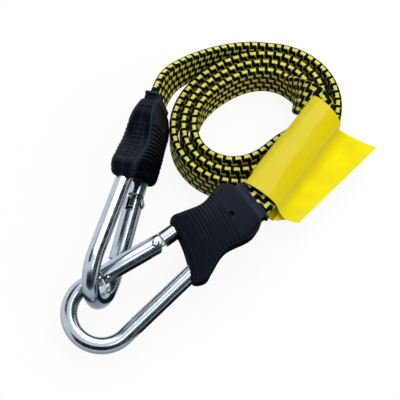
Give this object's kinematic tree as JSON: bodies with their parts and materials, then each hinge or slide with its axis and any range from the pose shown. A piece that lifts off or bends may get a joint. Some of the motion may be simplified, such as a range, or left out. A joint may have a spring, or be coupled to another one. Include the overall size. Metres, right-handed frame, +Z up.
{
  "type": "bungee cord",
  "caption": "Flat woven elastic bungee cord, coiled, with linked spring gate carabiner hooks in ribbed moulded handles and a bare wrap tag",
  "frame": {"origin": "on the floor, under the middle of the box round both hooks and handles", "axes": "+Z up from the floor; +Y away from the viewer of the picture; +X to the viewer's right"},
  "size_m": [0.1516, 0.1702, 0.0424],
  "materials": {
    "zinc_steel": "bright zinc plate",
    "spring_steel": "drawn wire",
    "black_nylon": "moulded satin",
    "grey_nylon": "moulded matt",
    "woven_strap": "woven yarn over rubber",
    "yellow_vinyl": "soft gloss sheet"
  },
  "bodies": {
    "cord": {"hook_wire_a": "zinc_steel", "handle_upper_a": "black_nylon", "handle_lower_a": "black_nylon", "mouth_collar_a": "black_nylon", "strap_clip_a": "grey_nylon", "hook_wire_b": "zinc_steel", "handle_upper_b": "black_nylon", "handle_lower_b": "black_nylon", "mouth_collar_b": "black_nylon", "strap_clip_b": "grey_nylon", "strap_lead_a": "woven_strap", "strap_coil": "woven_strap", "strap_lead_b": "woven_strap", "tag": "yellow_vinyl"},
    "gate_a": {"gate_sleeve_a": "zinc_steel", "gate_rivet_a": "zinc_steel", "catch_pin_a": "zinc_steel", "gate_spring_a": "spring_steel"},
    "plunger_a": {"gate_plunger_a": "spring_steel"},
    "gate_b": {"gate_sleeve_b": "zinc_steel", "gate_rivet_b": "zinc_steel", "catch_pin_b": "zinc_steel", "gate_spring_b": "spring_steel"},
    "plunger_b": {"gate_plunger_b": "spring_steel"}
  },
  "joints": [
    {"name": "gate_a_hinge", "type": "hinge", "parent": "cord", "child": "gate_a", "pos_m": [-0.01629, 0.01364, 0.01303], "axis": [-0.9409, 0.2852, -0.1825], "range_deg": [0, 25], "stiffness_Nm_per_rad": 0.4, "springref_deg": -17.19},
    {"name": "plunger_a_slide", "type": "slide", "parent": "gate_a", "child": "plunger_a", "axis": [-0.2413, -0.9429, -0.2296], "range_m": [0, 0.0012], "deforming": ["gate_spring_a"]},
    {"name": "gate_b_hinge", "type": "hinge", "parent": "cord", "child": "gate_b", "pos_m": [-0.00509, -0.01272, 0.01971], "axis": [0.0511, -0.24, 0.9694], "range_deg": [0, 25], "stiffness_Nm_per_rad": 0.4, "springref_deg": -17.19},
    {"name": "plunger_b_slide", "type": "slide", "parent": "gate_b", "child": "plunger_b", "axis": [-0.8538, -0.5141, -0.0822], "range_m": [0, 0.0012], "deforming": ["gate_spring_b"]}
  ],
  "couplings": [
    {"joint": "plunger_a_slide", "follows": "gate_a_hinge", "m_per_rad": 0.002747},
    {"joint": "plunger_b_slide", "follows": "gate_b_hinge", "m_per_rad": 0.002747}
  ]
}
